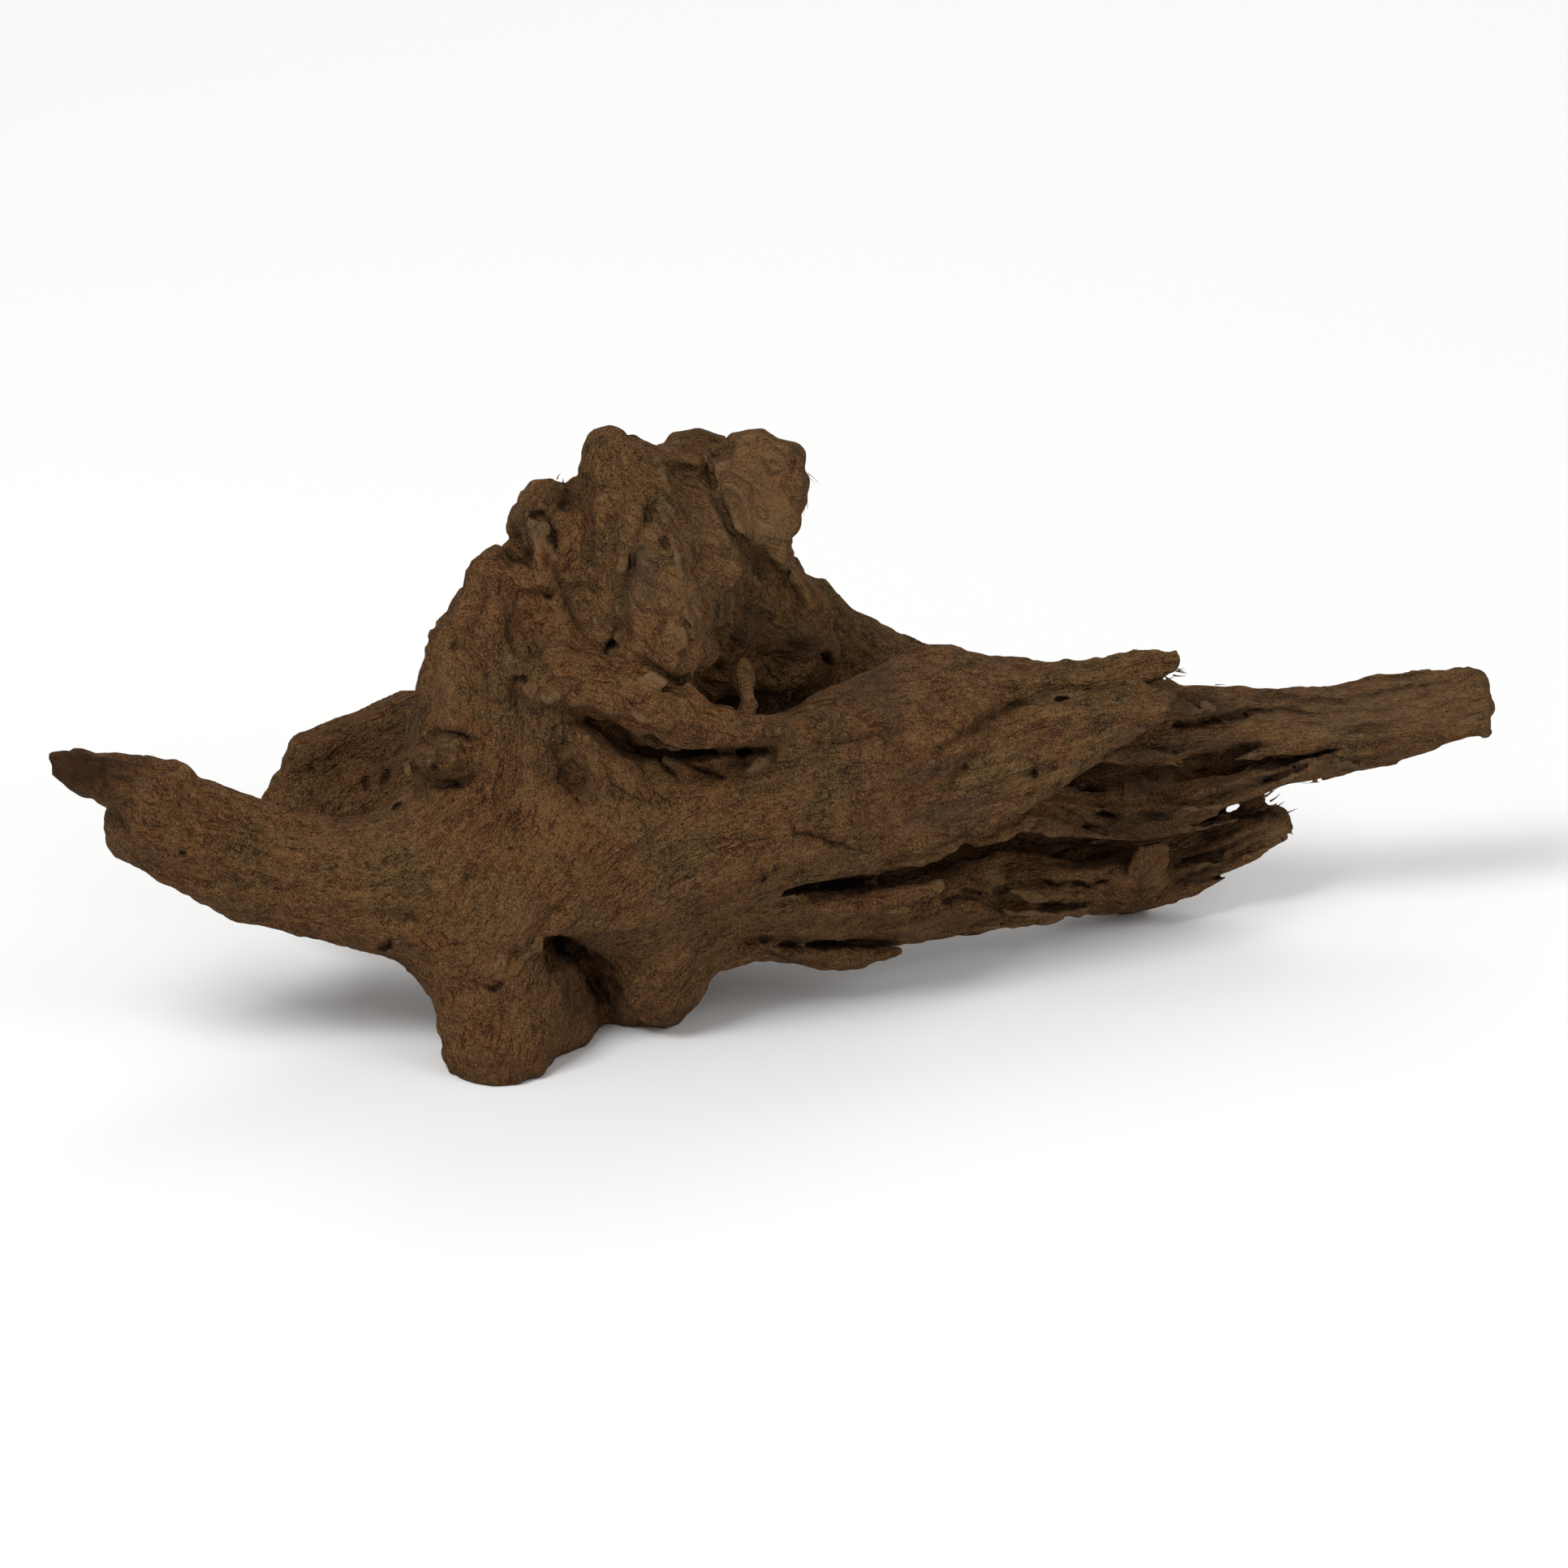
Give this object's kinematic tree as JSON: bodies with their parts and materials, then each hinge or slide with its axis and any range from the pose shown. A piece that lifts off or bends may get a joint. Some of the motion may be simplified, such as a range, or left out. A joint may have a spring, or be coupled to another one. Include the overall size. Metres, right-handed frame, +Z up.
{
  "type": "driftwood",
  "caption": "Long weathered piece of driftwood with a lobed crown, a tapering arm, split layers that run out to a blunt spike, and rounded feet it stands on.",
  "frame": {"origin": "on the ground, under the middle of the piece's box", "axes": "+X towards the blunt spike, +Y to the back, away from the side the picture shows, +Z up"},
  "size_m": [0.4016, 0.1288, 0.1689],
  "materials": {
    "driftwood": "matt, dry and fibrous, with worn lighter edges and dark clefts"
  },
  "bodies": {
    "root": {"driftwood": "driftwood"}
  },
  "joints": []
}
